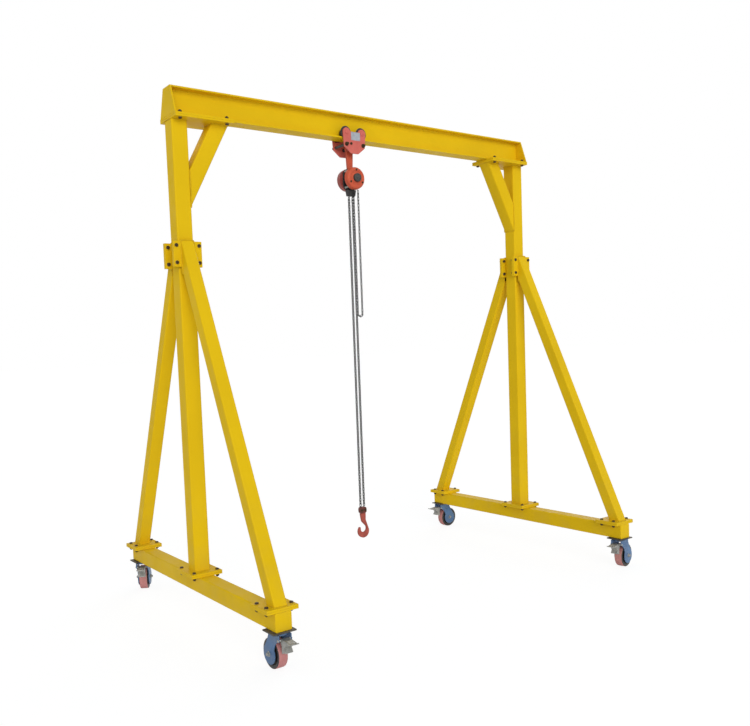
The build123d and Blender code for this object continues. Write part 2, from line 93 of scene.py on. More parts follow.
bpy.ops.object.select_all(action="DESELECT")
bpy.ops.mesh.primitive_plane_add(size=FLOOR_SIZE)
floor = bpy.context.object
floor.name = "studio_floor"
sheet = bpy.data.materials.new("white_sheet")
sheet.use_nodes = True
tree = sheet.node_tree
tree.nodes.clear()
lit = add_node(tree, "BsdfDiffuse", {"Color": SHEET_WHITE})
plain = add_node(tree, "Emission", {"Color": PURE_WHITE, "Strength": FLOOR_WHITE})
share = add_node(tree, "Math", {0: seen_directly(tree), 1: 1 - FLOOR_SHADOW_SHARE}, operation="MULTIPLY")
both = add_node(tree, "MixShader", {0: share.outputs[0], 1: lit.outputs[0], 2: plain.outputs[0]})
add_node(tree, "OutputMaterial", {"Surface": both.outputs[0]})
floor.data.materials.append(sheet)

# Studio lamps. Broad soft light from the front on the left is the main light, and a weaker one
# from behind on the right opens the shaded sides of the tubes.
LAMP_SPREAD = math.radians(40)
MAIN_TOWARDS, MAIN_STRENGTH = (-3.0, -7.0, 2.0), 1.6
FAR_TOWARDS, FAR_STRENGTH = (6.0, 3.0, 3.6), 0.5


def soft_lamp(name, towards, strength):
    """Broad even light that falls from one direction."""
    bpy.ops.object.light_add(type="SUN", location=towards)
    lamp = bpy.context.object
    lamp.name = name
    lamp.data.angle = LAMP_SPREAD
    lamp.data.energy = strength
    lamp.rotation_euler = Vector(towards).to_track_quat("Z", "Y").to_euler()


soft_lamp("main_lamp", MAIN_TOWARDS, MAIN_STRENGTH)
soft_lamp("far_lamp", FAR_TOWARDS, FAR_STRENGTH)

# Camera. It stands to the left in front of the crane at eye height, slightly tilted,
# with the lens and framing of the photograph.
CAMERA_PLACE = Vector((-3.479, -4.500, 1.663))
HEADING, TILT, ROLL = math.radians(35.12), math.radians(-4.17), math.radians(-2.25)
SENSOR_WIDTH, LENS, FAR_SIGHT = 36.0, 38.78, 400.0
SHIFT_X, SHIFT_Y = 0.0446, 0.0574
forward = Vector((math.sin(HEADING) * math.cos(TILT), math.cos(HEADING) * math.cos(TILT), math.sin(TILT)))
level = Vector((math.cos(HEADING), -math.sin(HEADING), 0.0))
right = level * math.cos(ROLL) + level.cross(forward) * math.sin(ROLL)
upward = right.cross(forward)
bpy.ops.object.camera_add()
camera = bpy.context.object
turned = Matrix((right, upward, -forward)).transposed().to_4x4()
camera.matrix_world = Matrix.Translation(CAMERA_PLACE) @ turned
camera.data.sensor_fit = "HORIZONTAL"
camera.data.sensor_width = SENSOR_WIDTH
camera.data.lens = LENS
camera.data.shift_x = SHIFT_X
camera.data.shift_y = SHIFT_Y
camera.data.clip_end = FAR_SIGHT
scene.camera = camera

# Beam, columns, legs, base beams and their plates. Rolled beam and square steel tube, welded to cut
# plates and sprayed with yellow gloss paint, a little worn along the edges and dusty near the floor.
YELLOW = (0.80, 0.52, 0.006)
YELLOW_SHADE = (0.74, 0.475, 0.006)
YELLOW_EDGE = (0.46, 0.30, 0.03)
DUST_BROWN = (0.30, 0.24, 0.15, 1)
DUST_TOP, DUST_FULL = 1.1, 0.1
CUT_EDGE = 0.0015
SAME_POINT, FLAT_ANGLE, CUT_ANGLE = 0.00002, math.radians(1.0), math.radians(40)
FRAME_STEEL = ("main_beam", "beam_end_plates", "beam_mount_plates", "column_top_plates", "collar_plates",
               "leg_head_plates", "base_end_caps", "base_plates", "foot_plates", "left_column",
               "right_column", "left_base_beam", "right_base_beam", "front_left_leg", "back_left_leg",
               "front_right_leg", "back_right_leg")


def steel_finish(name, colour, shade, rough, metal=0.0, gloss=0.25, mottle=3.0, grain=260.0,
                 depth=0.0002, edge=None, edge_width=0.003, dust=0.0):
    """Painted or bare metal: mottled colour, uneven gloss, a fine grain, worn edges and floor dust."""
    material = bpy.data.materials.new(name)
    material.use_nodes = True
    tree = material.node_tree
    shader = tree.nodes["Principled BSDF"]
    place = add_node(tree, "TexCoord").outputs["Object"]

    def noise(scale, low, high, detail=4.0):
        """Noise on the piece, stretched so that low to high becomes nought to one."""
        cloud = add_node(tree, "TexNoise", {"Vector": place, "Scale": scale, "Detail": detail})
        return add_node(tree, "MapRange", {0: cloud.outputs[0], 1: low, 2: high}).outputs[0]

    def mixed(share, first, second):
        """A colour between two, by a share."""
        return add_node(tree, "Mix", {0: share, 6: first, 7: second}, data_type="RGBA").outputs[2]

    def both_shares(first, second):
        """One share of another."""
        return add_node(tree, "Math", {0: first, 1: second}, operation="MULTIPLY").outputs[0]

    tone = mixed(noise(mottle, 0.35, 0.65), (*colour, 1), (*shade, 1))
    if dust:
        height = add_node(tree, "SeparateXYZ", {0: place}).outputs["Z"]
        low = add_node(tree, "MapRange", {0: height, 1: DUST_TOP, 2: DUST_FULL, 3: 0.0, 4: dust}).outputs[0]
        tone = mixed(both_shares(low, noise(9.0, 0.40, 0.70)), tone, DUST_BROWN)
    if edge:
        rounded = add_node(tree, "Bevel", {"Radius": edge_width}, samples=4).outputs[0]
        flat = add_node(tree, "NewGeometry").outputs["Normal"]
        apart = add_node(tree, "VectorMath", {0: rounded, 1: flat}, operation="DOT_PRODUCT").outputs["Value"]
        rim = add_node(tree, "MapRange", {0: apart, 1: 0.99, 2: 0.88}).outputs[0]
        tone = mixed(both_shares(rim, noise(38.0, 0.42, 0.66)), tone, (*edge, 1))
    tree.links.new(tone, shader.inputs["Base Color"])
    sheen = add_node(tree, "MapRange", {0: noise(11.0, 0.3, 0.7), 3: rough[0], 4: rough[1]}).outputs[0]
    tree.links.new(sheen, shader.inputs["Roughness"])
    bump = add_node(tree, "Bump", {"Strength": 0.5, "Distance": depth, "Height": noise(grain, 0.2, 0.8, 2.0)})
    tree.links.new(bump.outputs[0], shader.inputs["Normal"])
    shader.inputs["Metallic"].default_value = metal
    shader.inputs["Specular IOR Level"].default_value = gloss
    return material


def dress(node, material, rounding, steps=2):
    """Give a CAD node its finish, and take the sharpness off its cut edges."""
    piece = cad[node]
    if not piece.material_slots:
        piece.data.materials.append(material)
    for slot in piece.material_slots:
        slot.material = material
    weld = piece.modifiers.new("joined_faces", "WELD")
    weld.merge_threshold = SAME_POINT
    flat = piece.modifiers.new("flat_faces", "DECIMATE")
    flat.decimate_type = "DISSOLVE"
    flat.angle_limit = FLAT_ANGLE
    soft = piece.modifiers.new("soft_edges", "BEVEL")
    soft.width = rounding
    soft.segments = steps
    soft.limit_method = "ANGLE"
    soft.angle_limit = CUT_ANGLE
    soft.harden_normals = False


yellow_paint = steel_finish("yellow_gloss_paint", YELLOW, YELLOW_SHADE, (0.40, 0.56), gloss=0.07, mottle=2.2,
                            edge=YELLOW_EDGE, edge_width=0.004, dust=0.10)
for node in FRAME_STEEL:
    dress(node, yellow_paint, CUT_EDGE)

# Frame bolts. Blackened M12 bolts with nuts, on plated washers, clamp each pair of plates: the beam
# mounts, the leg collars, the column feet and the leg feet.
BOLT_FLATS, BOLT_RADIUS, GRIP, SHANK_SHARE = 0.019, 0.006, 0.024, 0.9
NUT_HEIGHT, HEAD_HEIGHT, HEX_CHAMFER = 0.0105, 0.0075, 0.07
WASHER_RADIUS, WASHER_HEIGHT = 0.0115, 0.0025
STUB, STUB_SUNK = 0.004, 0.002
COLUMN_X = 1.425
MOUNT_LEVEL, COLLAR_LEVEL, FOOT_LEVEL = 3.039, 2.243, 0.332
PLATE_BOLT_Y, MOUNT_BOLTS_IN, COLUMN_FOOT_BOLT_X = 0.09, (-0.012, 0.290), 0.076
COLLAR_JOINT_Y, COLLAR_BOLT_X, COLLAR_BOLT_RISE = 0.062, 0.072, 0.05
LEG_FOOT_Y, LEG_FOOT_BOLT_X, LEG_FOOT_BOLT_Y = 0.898, 0.075, 0.05
NEAR = 0.00001


def begin(add, **sizes):
    """Start a piece from a primitive on its own, with its place in its mesh, ready for editing."""
    if bpy.context.object and bpy.context.object.mode == "EDIT":
        bpy.ops.object.mode_set(mode="OBJECT")
    bpy.ops.object.select_all(action="DESELECT")
    add(**sizes)
    bpy.ops.object.transform_apply(location=True, rotation=True, scale=True)
    bpy.ops.object.mode_set(mode="EDIT")


def choose(kind, test):
    """Select the points, edges or faces of the edited mesh that pass a test on their points or middle."""
    bpy.ops.mesh.select_all(action="DESELECT")
    bpy.ops.mesh.select_mode(type=kind)
    shape = bmesh.from_edit_mesh(bpy.context.object.data)
    for item in {"VERT": shape.verts, "EDGE": shape.edges, "FACE": shape.faces}[kind]:
        if kind == "VERT":
            chosen = test(item.co)
        elif kind == "EDGE":
            chosen = all(test(point.co) for point in item.verts)
        else:
            chosen = test(item.calc_center_median(), item.normal)
        if chosen:
            item.select_set(True)
    bmesh.update_edit_mesh(bpy.context.object.data)


def settle(name, smooth=35):
    """Leave editing with outward faces and smooth rounds, and name the piece."""
    bpy.ops.mesh.select_all(action="SELECT")
    bpy.ops.mesh.normals_make_consistent(inside=False)
    bpy.ops.object.mode_set(mode="OBJECT")
    piece = bpy.context.object
    bpy.ops.object.shade_smooth_by_angle(angle=math.radians(smooth))
    piece.name = piece.data.name = name
    return piece


def fit(piece, body, material, slot, *nodes):
    """Paint a finished piece and tie it to its body, in place of CAD nodes where it stands for them."""
    piece.data.materials.clear()
    piece.data.materials.append(material)
    if body:
        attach(piece, body)
    if nodes:
        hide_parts(*nodes)
    return piece


def join(pieces, name):
    """Join pieces into the last of them, and name the result."""
    bpy.ops.object.select_all(action="DESELECT")
    for piece in pieces:
        piece.select_set(True)
    bpy.context.view_layer.objects.active = pieces[-1]
    bpy.ops.object.join()
    joined = bpy.context.object
    joined.name = joined.data.name = name
    return joined


def set_out(pattern, name, places):
    """Copy a pattern piece to each place and join the copies into one piece at the origin."""
    copies = []
    for place in places:
        copy = pattern.copy()
        copy.data = pattern.data.copy()
        copy.data.transform(place)
        bpy.context.collection.objects.link(copy)
        copies.append(copy)
    return join(copies, name)


def put_away(*patterns):
    """Remove pattern pieces once their copies are set out."""
    for pattern in patterns:
        bpy.data.objects.remove(pattern)


def at(x, y, z):
    """A place on the crane."""
    return Matrix.Translation((x, y, z))


def facing(way):
    """The turn that points an upright pattern to the back for 1, or to the front for -1."""
    return Matrix.Rotation(math.radians(-90 * way), 4, "X")


def hexagon(low, height, flats=BOLT_FLATS):
    """Add a hexagon head or nut to the edited mesh, with its end corners turned off."""
    bpy.ops.mesh.select_all(action="DESELECT")
    bpy.ops.mesh.primitive_cylinder_add(vertices=6, radius=flats / math.sqrt(3), depth=height,
                                        location=(0, 0, low + height / 2))
    for end in (low, low + height):
        choose("EDGE", lambda point: abs(point.z - end) < NEAR and point.xy.length > flats / 2)
        bpy.ops.mesh.bevel(offset=flats * HEX_CHAMFER, segments=1)


def disc(low, height, radius, points=20, chamfer=0.12):
    """Add a washer or a shank end to the edited mesh, with its rim turned off by a share of its height."""
    bpy.ops.mesh.select_all(action="DESELECT")
    bpy.ops.mesh.primitive_cylinder_add(vertices=points, radius=radius, depth=height,
                                        location=(0, 0, low + height / 2))
    for end in (low, low + height):
        choose("EDGE", lambda point: abs(point.z - end) < NEAR and abs(point.xy.length - radius) < NEAR)
        bpy.ops.mesh.bevel(offset=height * chamfer, segments=1)


bolt_black = steel_finish("blackened_bolt", (0.034, 0.021, 0.010), (0.060, 0.036, 0.014), (0.45, 0.65),
                          metal=0.1, gloss=0.2, mottle=60.0, grain=900.0, depth=0.0001,
                          edge=(0.14, 0.10, 0.06), edge_width=0.0012)
washer_plate = steel_finish("passivated_washer", (0.52, 0.40, 0.10), (0.42, 0.31, 0.08), (0.4, 0.6),
                            metal=0.3, gloss=0.2, mottle=60.0, grain=900.0, depth=0.0001,
                            edge=(0.30, 0.22, 0.07), edge_width=0.0012)
nut_seat, head_seat = GRIP / 2 + WASHER_HEIGHT, -GRIP / 2 - WASHER_HEIGHT
begin(bpy.ops.mesh.primitive_cylinder_add, vertices=16, radius=BOLT_RADIUS, depth=GRIP * SHANK_SHARE)
hexagon(nut_seat, NUT_HEIGHT)
hexagon(head_seat - HEAD_HEIGHT, HEAD_HEIGHT)
disc(nut_seat + NUT_HEIGHT - STUB_SUNK, STUB + STUB_SUNK, BOLT_RADIUS, points=16, chamfer=0.15)
bolt = settle("frame_bolt")
begin(bpy.ops.mesh.primitive_cylinder_add, vertices=20, radius=WASHER_RADIUS, depth=WASHER_HEIGHT,
      location=(0, 0, GRIP / 2 + WASHER_HEIGHT / 2))
disc(head_seat, WASHER_HEIGHT, WASHER_RADIUS)
washer = settle("frame_washer")

nut_down = Matrix.Rotation(math.radians(180), 4, "X")
mounts, collars, feet = [], [], []
for side in (-1, 1):
    x = side * COLUMN_X
    for way in (-1, 1):
        for inward in MOUNT_BOLTS_IN:
            mounts.append(at(x - side * inward, way * PLATE_BOLT_Y, MOUNT_LEVEL))
        for along in (-1, 1):
            feet.append(at(x + along * COLUMN_FOOT_BOLT_X, way * PLATE_BOLT_Y, FOOT_LEVEL) @ nut_down)
            for step in (-1, 1):
                collars.append(at(x + along * COLLAR_BOLT_X, way * COLLAR_JOINT_Y,
                                  COLLAR_LEVEL + step * COLLAR_BOLT_RISE) @ facing(-way))
                feet.append(at(x + along * LEG_FOOT_BOLT_X, way * LEG_FOOT_Y + step * LEG_FOOT_BOLT_Y,
                               FOOT_LEVEL) @ nut_down)
for name, places in (("mount", mounts), ("collar", collars), ("foot", feet)):
    fit(set_out(bolt, name + "_bolts", places), "frame", bolt_black, "dark_plate")
    fit(set_out(washer, name + "_washers", places), "frame", washer_plate, "zinc")
put_away(bolt, washer)

# Knee braces. Square steel tube of the columns' own width, in the same yellow paint, cut to lie flat
# on the column's inner face and under the top plate, and welded to both.
BRACE_TUBE, TUBE_CORNER = 0.100, 0.008
BRACE_REACH, BRACE_DROP, COLUMN_HEAD = 0.263, 0.398, 3.027
BRACE_SPARE = 0.2
inner_faces, braces = {}, {}
for side, sign in (("left", -1), ("right", 1)):
    inner_faces[side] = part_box(side + "_column")[1 if sign < 0 else 0][0]
    foot = Vector((inner_faces[side], 0, COLUMN_HEAD - BRACE_DROP))
    head = Vector((sign * (COLUMN_X - BRACE_REACH), 0, COLUMN_HEAD))
    slope = (head - foot).normalized()
    begin(bpy.ops.mesh.primitive_plane_add, size=BRACE_TUBE, location=foot - slope * BRACE_SPARE,
          rotation=(0, math.atan2(slope.x, slope.z), 0))
    bpy.ops.mesh.bevel(offset=TUBE_CORNER, segments=4, affect="VERTICES")
    bpy.ops.mesh.select_all(action="SELECT")
    length = (head - foot).length + 2 * BRACE_SPARE
    bpy.ops.mesh.extrude_region_move(TRANSFORM_OT_translate={"value": slope * length})
    for cut, outward in ((foot, (sign, 0, 0)), (head, (0, 0, 1))):
        bpy.ops.mesh.select_all(action="SELECT")
        bpy.ops.mesh.bisect(plane_co=cut, plane_no=outward, use_fill=True, clear_outer=True)
    braces[side] = settle(side + "_brace_tube")
    fit(braces[side], "frame", yellow_paint, "yellow_paint", side + "_knee_brace")

# Weld beads. Fillet runs of weld metal close each tube on its plate and each brace on its column,
# under the same coat of paint.
BEAD, ON_FACE = 0.0035, 0.0005
FOOT_FACE, LEG_HEAD_FACE = 0.344, 0.074
LYING = {0: Matrix(((0, 0, 1), (1, 0, 0), (0, 1, 0))), 1: Matrix(((1, 0, 0), (0, 0, -1), (0, 1, 0))),
         2: Matrix.Identity(3)}


def weld_run(tube, across, level):
    """A bead round a tube where it meets a face: a flat loop with round corners, grown to a round run."""
    points = [point.co for point in tube.data.vertices if abs(point.co[across] - level) < ON_FACE]
    low = [min(point[axis] for point in points) for axis in range(3)]
    high = [max(point[axis] for point in points) for axis in range(3)]
    width, length = (high[axis] - low[axis] + BEAD for axis in range(3) if axis != across)
    begin(bpy.ops.mesh.primitive_plane_add, size=1)
    bpy.ops.transform.resize(value=(width, length, 1))
    bpy.ops.mesh.bevel(offset=TUBE_CORNER, segments=3, affect="VERTICES")
    bpy.ops.mesh.delete(type="ONLY_FACE")
    bpy.ops.mesh.select_all(action="SELECT")
    bpy.ops.mesh.subdivide(number_cuts=2)
    bpy.ops.object.mode_set(mode="OBJECT")
    bpy.ops.object.convert(target="CURVE")
    run = bpy.context.object
    run.data.bevel_depth = BEAD
    run.data.bevel_resolution = 1
    bpy.ops.object.convert(target="MESH")
    middle = [(first + last) / 2 for first, last in zip(low, high)]
    run.data.transform(Matrix.Translation(middle) @ LYING[across].to_4x4())
    return run


welds = []
for side in ("left", "right"):
    column, brace = cad[side + "_column"], braces[side]
    welds += [weld_run(column, 2, FOOT_FACE), weld_run(column, 2, COLUMN_HEAD),
              weld_run(brace, 2, COLUMN_HEAD), weld_run(brace, 0, inner_faces[side])]
    for end, sign in (("front", -1), ("back", 1)):
        leg = cad[f"{end}_{side}_leg"]
        welds += [weld_run(leg, 2, FOOT_FACE), weld_run(leg, 1, sign * LEG_HEAD_FACE)]
beads = join(welds, "weld_beads")
bpy.ops.object.shade_smooth()
bead_paint = steel_finish("painted_weld", YELLOW_SHADE, (0.62, 0.39, 0.006), (0.45, 0.6), gloss=0.12,
                          mottle=30.0, grain=160.0, depth=0.0012)
fit(beads, "frame", bead_paint, "yellow_paint")

# Caster plates and forks. Dark top plates under the base beams carry ball races, and pressed forks
# in blue-grey paint swivel on them, with plated rings, axle nuts and riveted brake pins.
FORK_BLUE = (0.085, 0.185, 0.36)
CORNERS = {"front_left": (-1, -1, -90), "back_left": (-1, 1, -120),
           "front_right": (1, -1, -170), "back_right": (1, 1, 180)}
CASTER_Y, TRAIL, AXLE_LEVEL = 0.942, 0.052, 0.0825
CHEEK_FACE, PIN_X, PIN_LEVEL = 0.040, 0.048, 0.1777
TOP_PLATE_EDGE, FORK_EDGE = 0.001, 0.002
AXLE_THREAD, AXLE_WASHER, AXLE_NUT = (16, 0.0075, 0.016), (0.0, 0.0022, 0.0135), (0.0022, 0.0100, 0.019)
AXLE_END = (0.0105, 0.0060, 0.0068, 14, 0.2)
RIVET_SECTION = ((0.0, 0.0), (0.0080, 0.0), (0.0076, 0.0014), (0.0060, 0.0030), (0.0032, 0.0038),
                 (0.0, 0.0040))
RING_SECTION = ((0.0365, 0.2046), (0.0410, 0.2046), (0.0420, 0.2060), (0.0420, 0.2080), (0.0405, 0.2096),
                (0.0365, 0.2098))


def at_corner(corner):
    """The place of a caster: its swivel over the floor, turned as it stands."""
    x, y, turn = CORNERS[corner]
    return at(x * COLUMN_X, y * CASTER_Y, 0) @ Matrix.Rotation(math.radians(turn), 4, "Z")


def nut_on_washer(name, thread, washer, nut, end=None):
    """A nut or screw head on its washer, seated at nought, with the end of its thread where that shows.

    The thread is given by its points, radius and length, the rest as for disc and hexagon."""
    points, radius, length = thread
    begin(bpy.ops.mesh.primitive_cylinder_add, vertices=points, radius=radius, depth=length)
    disc(*washer)
    hexagon(*nut)
    if end:
        disc(*end)
    return settle(name)


def lathe(profile, steps=40, smooth=35, name="turned_pattern"):
    """Turn a half section, given as radius and height, about the upright axis. A ring is closed first."""
    begin(bpy.ops.mesh.primitive_plane_add, size=2)
    choose("VERT", lambda point: point.x + point.y < 1.5)
    bpy.ops.mesh.delete(type="VERT")
    bpy.ops.mesh.select_all(action="SELECT")
    last = Vector((1, 1, 0))
    for radius, height in profile:
        place = Vector((radius, 0, height))
        if last.y:
            bpy.ops.transform.translate(value=place - last)
        else:
            bpy.ops.mesh.extrude_region_move(TRANSFORM_OT_translate={"value": place - last})
        last = place
    if profile[0][0]:
        first = Vector((profile[0][0], 0, profile[0][1]))
        choose("VERT", lambda point: (point - first).length < NEAR / 10 or (point - last).length < NEAR / 10)
        bpy.ops.mesh.edge_face_add()
    bpy.ops.mesh.select_all(action="SELECT")
    bpy.ops.mesh.spin(steps=steps, angle=math.tau, center=(0, 0, 0), axis=(0, 0, 1))
    bpy.ops.mesh.select_all(action="SELECT")
    bpy.ops.mesh.remove_doubles(threshold=NEAR)
    return settle(name, smooth)


plate_dark = steel_finish("dark_plate_paint", (0.040, 0.036, 0.034), (0.065, 0.058, 0.052), (0.42, 0.6),
                          gloss=0.3, mottle=20.0, edge=(0.14, 0.13, 0.12), dust=0.25)
fork_paint = steel_finish("fork_blue_paint", FORK_BLUE, (0.065, 0.14, 0.28), (0.34, 0.5), gloss=0.3,
                          mottle=14.0, edge=(0.26, 0.30, 0.34), dust=0.15)
zinc_plate = steel_finish("zinc_plate", (0.36, 0.355, 0.33), (0.26, 0.26, 0.24), (0.40, 0.58), metal=0.5,
                          gloss=0.3, mottle=40.0, grain=600.0, depth=0.0001, edge=(0.55, 0.54, 0.50),
                          edge_width=0.002)
dress("caster_plates", plate_dark, TOP_PLATE_EDGE)
axle_nut = nut_on_washer("axle_nut_pattern", AXLE_THREAD, AXLE_WASHER, AXLE_NUT, AXLE_END)
rivet = lathe(RIVET_SECTION, steps=16, smooth=60, name="rivet_pattern")
ring = lathe(RING_SECTION, steps=40, smooth=50, name="race_ring_pattern")
for corner in CORNERS:
    dress(corner + "_fork", fork_paint, FORK_EDGE, steps=3)
    stand = at_corner(corner)
    for pattern, name, x, z in ((axle_nut, "axle_nuts", -TRAIL, AXLE_LEVEL),
                                (rivet, "pin_rivets", PIN_X, PIN_LEVEL)):
        places = [stand @ at(x, way * CHEEK_FACE, z) @ facing(way) for way in (-1, 1)]
        fit(set_out(pattern, f"{corner}_{name}", places), corner + "_caster", zinc_plate, "zinc")
    fit(set_out(ring, corner + "_race_ring", [stand]), corner + "_caster", zinc_plate, "zinc")
put_away(axle_nut, rivet, ring)

# Caster wheels. A cast iron centre with dished sides and a ribbed web, black to the rim, with a red
# tread moulded round it.
TREAD_RED = (0.56, 0.235, 0.225)
RIBS, RIB_MIDDLE, RIB_SIZE, RIB_EDGE = 6, 0.041, (0.036, 0.006, 0.046), 0.0022
CORE_HALF = ((0.0082, 0.0330), (0.0195, 0.0330), (0.0215, 0.0318), (0.0235, 0.0205), (0.0265, 0.0175),
             (0.0560, 0.0165), (0.0590, 0.0180), (0.0612, 0.0255), (0.0630, 0.0268), (0.0790, 0.0272),
             (0.0810, 0.0262))
TREAD_HALF = ((0.0785, 0.0260), (0.0811, 0.0260), (0.0820, 0.0252), (0.0825, 0.0228))


def both_halves(half):
    """The whole section of a wheel from the half on one side of its middle."""
    return [(radius, -along) for radius, along in half] + list(reversed(half))


tread_red = steel_finish("moulded_tread", TREAD_RED, (0.50, 0.20, 0.19), (0.5, 0.7), mottle=25.0, grain=500.0,
                         edge=(0.36, 0.20, 0.18), dust=0.25)
iron_black = steel_finish("black_iron", (0.022, 0.021, 0.022), (0.04, 0.038, 0.036), (0.45, 0.62), gloss=0.35,
                          mottle=30.0, grain=420.0, depth=0.0004, edge=(0.10, 0.095, 0.09), dust=0.12)
core = lathe(both_halves(CORE_HALF), steps=48, smooth=40, name="wheel_core_pattern")
tread = lathe(both_halves(TREAD_HALF), steps=56, smooth=40, name="tread_pattern")
begin(bpy.ops.mesh.primitive_cube_add, size=1, location=(RIB_MIDDLE, 0, 0), scale=RIB_SIZE)
choose("EDGE", lambda point: abs(point.z) > RIB_SIZE[2] / 2 - NEAR)
bpy.ops.mesh.bevel(offset=RIB_EDGE, segments=2)
rib = settle("wheel_rib_pattern")
ribs = set_out(rib, "wheel_ribs", [Matrix.Rotation(math.tau * index / RIBS, 4, "Z") for index in range(RIBS)])
core = join([ribs, core], "wheel_core_pattern")
for corner in CORNERS:
    wheel = at_corner(corner) @ at(-TRAIL, 0, AXLE_LEVEL) @ facing(1)
    fit(set_out(core, corner + "_wheel_centre", [wheel]), corner + "_wheel", iron_black, "black_iron",
        corner + "_wheel_core")
    fit(set_out(tread, corner + "_tread_band", [wheel]), corner + "_wheel", tread_red, "red_tread",
        corner + "_tread")
put_away(core, tread, rib)

# Brake pedals. Folded plated sheet on a pin between the fork cheeks, with grip ridges pressed
# into the toe lip.
RIDGE_RADIUS, RIDGE_LENGTH, RIDGE_END = 0.0028, 0.034, 0.0018
RIDGE_X, RIDGE_LEVEL, LIP_SLOPE = (0.096, 0.108, 0.120), 0.1808, 0.1
PEDAL_EDGE = 0.0015
begin(bpy.ops.mesh.primitive_cylinder_add, vertices=10, radius=RIDGE_RADIUS, depth=RIDGE_LENGTH,
      rotation=(math.radians(90), 0, 0))
choose("EDGE", lambda point: abs(point.y) > RIDGE_LENGTH / 2 - NEAR)
bpy.ops.mesh.bevel(offset=RIDGE_END, segments=2)
ridge = settle("grip_ridge_pattern", smooth=60)
for corner in CORNERS:
    dress(corner + "_brake_pedal", zinc_plate, PEDAL_EDGE)
    places = [at_corner(corner) @ at(x, 0, RIDGE_LEVEL - LIP_SLOPE * (x - RIDGE_X[0])) for x in RIDGE_X]
    fit(set_out(ridge, corner + "_grip_ridges", places), corner + "_pedal", zinc_plate, "zinc")
put_away(ridge)

# Trolley. Two flame-cut side plates in red paint hang on four flanged iron wheels, held apart by a
# load bar and two spacer bars with blackened nuts. The wheel axles are riveted over.
TROLLEY_RED = (0.68, 0.155, 0.120)
TROLLEY_X, PLATE_FACE = -0.170, 0.069
WHEEL_LEVEL, WHEEL_SPREAD = 3.0883, 0.062
SPACER_LEVEL, SPACER_SPREAD = 3.0103, 0.068
BAR_PIN_X, BAR_PIN_LEVEL = -0.200, 3.016
PLATE_EDGE, BAR_EDGE = 0.0015, 0.001
SPACER_THREAD, SPACER_WASHER, SPACER_NUT = (16, 0.0085, 0.02), (0.0, 0.0025, 0.0130), (0.0025, 0.0110, 0.021)
SPACER_END = (0.0125, 0.0085, 0.0082, 16, 0.15)
AXLE_HEAD_SECTION = ((0.0, 0.0), (0.0150, 0.0), (0.0150, 0.0016), (0.0128, 0.0042), (0.0085, 0.0056),
                     (0.0, 0.0060))
BAR_PIN_SECTION = ((0.0, 0.0), (0.0085, 0.0), (0.0085, 0.0050), (0.0070, 0.0066), (0.0, 0.0066))
trolley_paint = steel_finish("trolley_red_paint", TROLLEY_RED, (0.58, 0.125, 0.10), (0.36, 0.52), gloss=0.2,
                             mottle=12.0, edge=(0.30, 0.08, 0.07), edge_width=0.004)
dress("trolley_front_plate", trolley_paint, PLATE_EDGE)
dress("trolley_back_plate", trolley_paint, PLATE_EDGE)
dress("trolley_wheels", iron_black, PLATE_EDGE)
dress("trolley_bars", plate_dark, BAR_EDGE)
spacer_nut = nut_on_washer("spacer_nut_pattern", SPACER_THREAD, SPACER_WASHER, SPACER_NUT, SPACER_END)
axle_head = lathe(AXLE_HEAD_SECTION, steps=24, smooth=50, name="axle_head_pattern")
bar_pin = lathe(BAR_PIN_SECTION, steps=18, smooth=40, name="bar_pin_pattern")
nuts, heads, pins = [], [], []
for way in (-1, 1):
    for side in (-1, 1):
        nuts.append(at(TROLLEY_X + side * SPACER_SPREAD, way * PLATE_FACE, SPACER_LEVEL) @ facing(way))
        heads.append(at(TROLLEY_X + side * WHEEL_SPREAD, way * PLATE_FACE, WHEEL_LEVEL) @ facing(way))
    pins.append(at(BAR_PIN_X, way * PLATE_FACE, BAR_PIN_LEVEL) @ facing(way))
fit(set_out(spacer_nut, "spacer_nuts", nuts), "trolley", bolt_black, "dark_plate")
fit(set_out(axle_head, "axle_heads", heads), "trolley", trolley_paint, "red_paint")
fit(set_out(bar_pin, "bar_pins", pins), "trolley", bolt_black, "dark_plate")
put_away(spacer_nut, axle_head, bar_pin)

# Bare plate on the trolley's front. A thin blank sheet of aluminium with a raised rim, held on the
# side plate by four small rivets.
BARE_X, BARE_LEVEL = -0.162, 3.0660
BARE_WIDTH, BARE_HEIGHT, BARE_SHEET = 0.074, 0.054, 0.0016
BARE_RIM, BARE_SUNK = 0.004, 0.0005
BARE_RIVET, BARE_RIVET_IN = 0.0021, 0.002
begin(bpy.ops.mesh.primitive_cube_add, size=1, location=(BARE_X, -PLATE_FACE - BARE_SHEET / 2, BARE_LEVEL),
      scale=(BARE_WIDTH, BARE_SHEET, BARE_HEIGHT))
choose("FACE", lambda middle, normal: normal.y < -0.5)
bpy.ops.mesh.inset(thickness=BARE_RIM, depth=-BARE_SUNK)
for side in (-1, 1):
    for step in (-1, 1):
        bpy.ops.mesh.select_all(action="DESELECT")
        bpy.ops.mesh.primitive_uv_sphere_add(
            segments=10, ring_count=6, radius=BARE_RIVET,
            location=(BARE_X + side * (BARE_WIDTH / 2 - BARE_RIVET_IN), -PLATE_FACE - BARE_SHEET,
                      BARE_LEVEL + step * (BARE_HEIGHT / 2 - BARE_RIVET_IN)))
bare_sheet = steel_finish("bare_aluminium", (0.42, 0.44, 0.48), (0.34, 0.36, 0.40), (0.38, 0.55), metal=0.3,
                          gloss=0.3, mottle=45.0, grain=800.0, depth=0.0001)
fit(settle("blank_plate"), "trolley", bare_sheet, "zinc")

